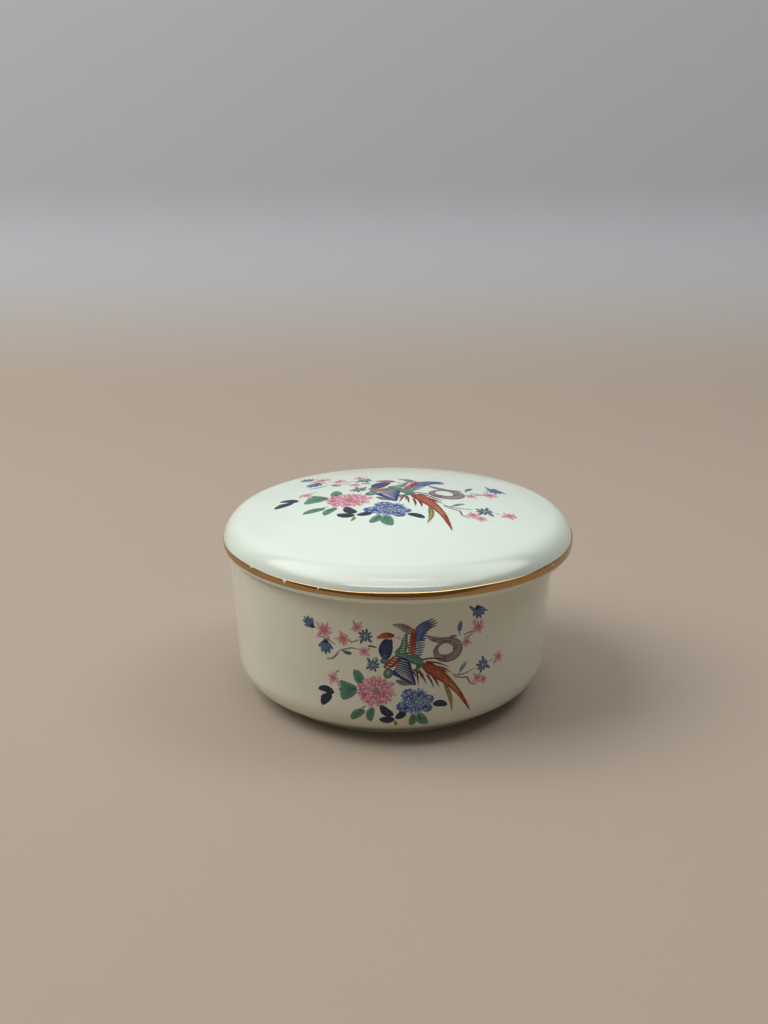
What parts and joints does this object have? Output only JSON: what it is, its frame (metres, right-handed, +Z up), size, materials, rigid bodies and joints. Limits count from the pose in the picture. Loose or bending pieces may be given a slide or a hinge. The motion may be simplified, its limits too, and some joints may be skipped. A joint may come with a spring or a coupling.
{
  "type": "porcelain trinket box",
  "caption": "Round lidded porcelain box with a shallow domed lid, a gilded edge and a fired bird and peony print; holds jewellery and trinkets.",
  "frame": {"origin": "on the plane the foot stands on, straight below the centre of the lid; the box's own centre lies 1.9 mm from it towards -X, because the loose lid rests off centre", "axes": "+Z up; the printed front of the wall faces -Y; +X is to the right of a viewer who faces the front"},
  "size_m": [0.1004, 0.1004, 0.0571],
  "materials": {
    "wall_glaze": "gloss",
    "lid_glaze": "gloss",
    "gilding": "polished",
    "print_enamel": "gloss",
    "foot_biscuit": "matte"
  },
  "bodies": {
    "box": {"box_body": "wall_glaze", "wall_transfer": "print_enamel"},
    "lid": {"lid": "lid_glaze", "gilt_band": "gilding", "lid_transfer": "print_enamel"}
  },
  "joints": [
    {"name": "lid_lift", "type": "slide", "parent": "box", "child": "lid", "axis": [0, 0, 1], "range_m": [0, 0.08]}
  ]
}
